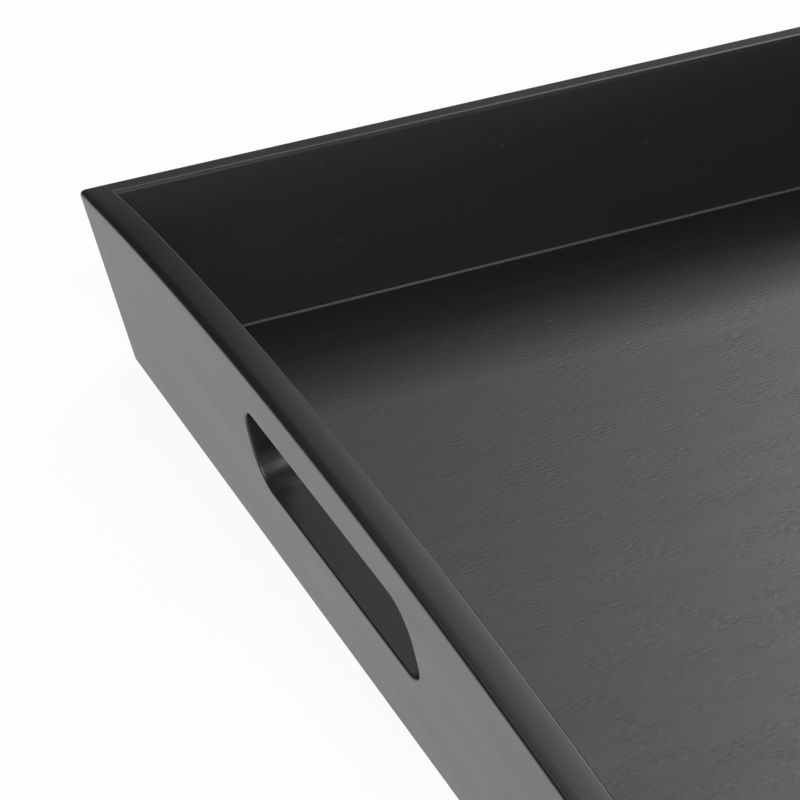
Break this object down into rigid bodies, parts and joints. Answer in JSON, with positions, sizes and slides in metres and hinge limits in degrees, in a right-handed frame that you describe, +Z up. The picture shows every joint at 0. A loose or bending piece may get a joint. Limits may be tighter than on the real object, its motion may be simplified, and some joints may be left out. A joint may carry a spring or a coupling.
{
  "type": "serving tray",
  "caption": "Rectangular bamboo serving tray with leaning, mitred walls, a let-in base panel and a rounded hand slot under the arched rim of each short end.",
  "frame": {"origin": "on the surface that the tray stands on, under the centre of the tray", "axes": "+X along the long side, towards the right handle board; +Y along the short side, towards the rear side board; +Z up"},
  "size_m": [0.5038, 0.3526, 0.0658],
  "materials": {
    "black_board": "black-stained bamboo under a satin lacquer, fine grain along the board",
    "black_panel": "black-stained bamboo under a satin lacquer, fine grain along the tray",
    "raw_bamboo": "unstained bamboo, sanded"
  },
  "bodies": {
    "root": {"rear_side_board": "black_board", "front_side_board": "black_board", "left_handle_board": "black_board", "right_handle_board": "black_board", "base_panel": "black_panel", "mitre_spline_rear_left": "raw_bamboo", "mitre_spline_rear_right": "raw_bamboo", "mitre_spline_front_left": "raw_bamboo", "mitre_spline_front_right": "raw_bamboo"}
  },
  "joints": []
}
